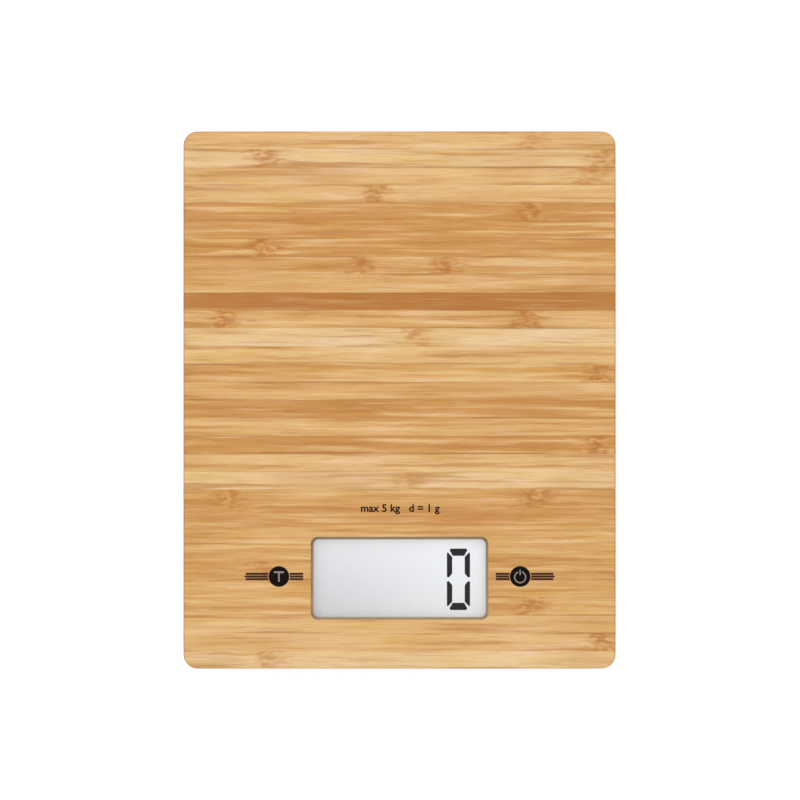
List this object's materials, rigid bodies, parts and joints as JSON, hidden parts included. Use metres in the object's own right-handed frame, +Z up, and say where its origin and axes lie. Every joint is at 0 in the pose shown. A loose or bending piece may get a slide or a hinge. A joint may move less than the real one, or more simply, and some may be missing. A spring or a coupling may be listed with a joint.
{
  "type": "kitchen scale",
  "caption": "Flat electronic kitchen scale with a bamboo platform, a display window, touch marks, sprung load-cell feet and a battery door.",
  "frame": {"origin": "on the table, under the middle of the platform", "axes": "+Z up, +X to the right as the display is read, -Y towards the user and the display"},
  "size_m": [0.185, 0.23, 0.0165],
  "materials": {
    "bamboo": "satin",
    "housing_plastic": "matte",
    "foot_steel": "matte",
    "clear_lens": "gloss",
    "foam": "matte",
    "display_glass": "gloss",
    "white_plastic": "satin",
    "conductive_rubber": "matte",
    "circuit_board": "satin",
    "chip_plastic": "matte",
    "spring_steel": "satin",
    "load_cell_steel": "satin",
    "cell_metal": "satin",
    "screw_zinc": "satin",
    "gauge_film": "gloss",
    "clamp_plastic": "matte",
    "pad_rubber": "matte",
    "button_rubber": "matte",
    "red_wire": "satin",
    "black_wire": "satin",
    "white_wire": "satin"
  },
  "bodies": {
    "scale_body": {"bamboo_platform": "bamboo", "bottom_housing": "housing_plastic", "window_lens": "clear_lens", "window_seal": "foam", "lcd_glass": "display_glass", "lcd_backlight": "white_plastic", "lcd_frame": "white_plastic", "zebra_connector": "conductive_rubber", "main_circuit_board": "circuit_board", "controller_chip": "chip_plastic", "converter_chip": "chip_plastic", "touch_spring_tare": "spring_steel", "touch_spring_power": "spring_steel", "unit_switch": "chip_plastic", "battery_contact_positive": "spring_steel", "battery_contact_negative": "spring_steel", "battery_cell": "cell_metal", "battery_lead_positive": "red_wire", "battery_lead_negative": "black_wire", "load_cell_front_left": "load_cell_steel", "strain_gauge_front_left": "gauge_film", "load_cell_clamp_front_left": "clamp_plastic", "load_cell_lead_front_left": "white_wire", "load_cell_front_right": "load_cell_steel", "strain_gauge_front_right": "gauge_film", "load_cell_clamp_front_right": "clamp_plastic", "load_cell_lead_front_right": "white_wire", "load_cell_rear_left": "load_cell_steel", "strain_gauge_rear_left": "gauge_film", "load_cell_clamp_rear_left": "clamp_plastic", "load_cell_lead_rear_left": "white_wire", "load_cell_rear_right": "load_cell_steel", "strain_gauge_rear_right": "gauge_film", "load_cell_clamp_rear_right": "clamp_plastic", "load_cell_lead_rear_right": "white_wire", "housing_screw_1": "screw_zinc", "housing_screw_2": "screw_zinc", "housing_screw_3": "screw_zinc", "housing_screw_4": "screw_zinc", "housing_screw_5": "screw_zinc", "housing_screw_6": "screw_zinc", "circuit_screw_1": "screw_zinc", "circuit_screw_2": "screw_zinc", "circuit_screw_3": "screw_zinc", "circuit_screw_4": "screw_zinc"},
    "front_left_foot": {"foot_front_left": "foot_steel", "foot_pad_front_left": "pad_rubber", "foot_screw_front_left": "screw_zinc"},
    "front_right_foot": {"foot_front_right": "foot_steel", "foot_pad_front_right": "pad_rubber", "foot_screw_front_right": "screw_zinc"},
    "rear_left_foot": {"foot_rear_left": "foot_steel", "foot_pad_rear_left": "pad_rubber", "foot_screw_rear_left": "screw_zinc"},
    "rear_right_foot": {"foot_rear_right": "foot_steel", "foot_pad_rear_right": "pad_rubber", "foot_screw_rear_right": "screw_zinc"},
    "battery_door": {"battery_door": "housing_plastic"},
    "unit_button": {"unit_button": "button_rubber", "unit_switch_plunger": "white_plastic"}
  },
  "joints": [
    {"name": "front_left_foot_travel", "type": "slide", "parent": "scale_body", "child": "front_left_foot", "axis": [0, 0, 1], "range_m": [0, 0.0006], "stiffness_N_per_m": 20000, "deforming": ["load_cell_front_left", "strain_gauge_front_left"]},
    {"name": "front_right_foot_travel", "type": "slide", "parent": "scale_body", "child": "front_right_foot", "axis": [0, 0, 1], "range_m": [0, 0.0006], "stiffness_N_per_m": 20000, "deforming": ["load_cell_front_right", "strain_gauge_front_right"]},
    {"name": "rear_left_foot_travel", "type": "slide", "parent": "scale_body", "child": "rear_left_foot", "axis": [0, 0, 1], "range_m": [0, 0.0006], "stiffness_N_per_m": 20000, "deforming": ["load_cell_rear_left", "strain_gauge_rear_left"]},
    {"name": "rear_right_foot_travel", "type": "slide", "parent": "scale_body", "child": "rear_right_foot", "axis": [0, 0, 1], "range_m": [0, 0.0006], "stiffness_N_per_m": 20000, "deforming": ["load_cell_rear_right", "strain_gauge_rear_right"]},
    {"name": "battery_door_hinge", "type": "hinge", "parent": "scale_body", "child": "battery_door", "pos_m": [0, 0.0442, 0.0042], "axis": [1, 0, 0], "range_deg": [0, 100]},
    {"name": "unit_button_press", "type": "slide", "parent": "scale_body", "child": "unit_button", "axis": [0, 0, 1], "range_m": [0, 0.0005], "stiffness_N_per_m": 2400}
  ]
}
